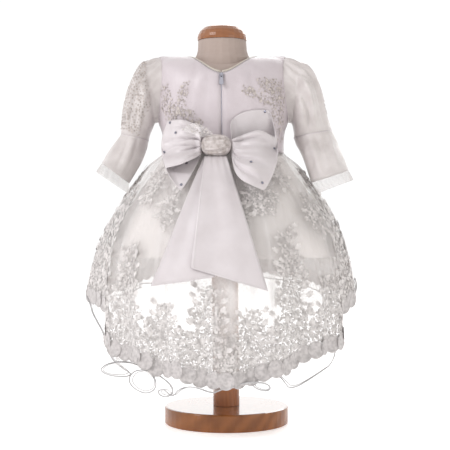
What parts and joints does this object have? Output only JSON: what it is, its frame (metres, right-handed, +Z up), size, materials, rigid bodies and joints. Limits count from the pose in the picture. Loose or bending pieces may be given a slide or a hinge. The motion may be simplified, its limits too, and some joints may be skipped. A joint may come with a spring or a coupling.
{
  "type": "christening gown on a dress form",
  "caption": "Baby's long-sleeved satin gown with a three-layer lace skirt and a big back bow, on a limbless jersey dress form with a wooden neck cap, pole and round base.",
  "frame": {"origin": "centre of the round base's flat underside", "axes": "+Z up; the gown's back, with its zip and bow, faces -Y and its front faces +Y; +X is to the right when the back is seen"},
  "size_m": [0.4327, 0.3938, 0.644],
  "materials": {
    "wood": "clear gloss lacquer over orange-brown wood",
    "jersey": "cream cotton jersey",
    "satin": "ivory satin, soft sheen",
    "bow_satin": "white satin, soft sheen",
    "net": "sheer white tulle",
    "lace": "white embroidered lace net",
    "zip_tape": "pale grey woven tape",
    "zip_metal": "polished nickel"
  },
  "bodies": {
    "gown_and_form": {"stand_base": "wood", "stand_pole": "wood", "neck_cap": "wood", "form_torso": "jersey", "bodice_front": "satin", "bodice_back_left": "satin", "bodice_back_right": "satin", "neck_binding": "satin", "zip_tape": "zip_tape", "zip_slider": "zip_metal", "upper_sleeve_left": "satin", "upper_sleeve_right": "satin", "lower_sleeve_left": "satin", "lower_sleeve_right": "satin", "cuff_frill_left": "net", "cuff_frill_right": "net", "skirt_lining": "satin", "skirt_tulle": "net", "skirt_lace": "lace", "bow_loop_left": "bow_satin", "bow_loop_right": "bow_satin", "bow_knot": "bow_satin", "bow_knot_frill": "net", "bow_tail_front": "bow_satin", "bow_tail_back": "bow_satin"},
    "pull_tab": {"zip_pull": "zip_metal"}
  },
  "joints": [
    {"name": "pull_tab_hinge", "type": "hinge", "parent": "gown_and_form", "child": "pull_tab", "pos_m": [-0.00804, -0.07122, 0.55468], "axis": [-1, 0, 0], "range_deg": [0, 140]}
  ]
}
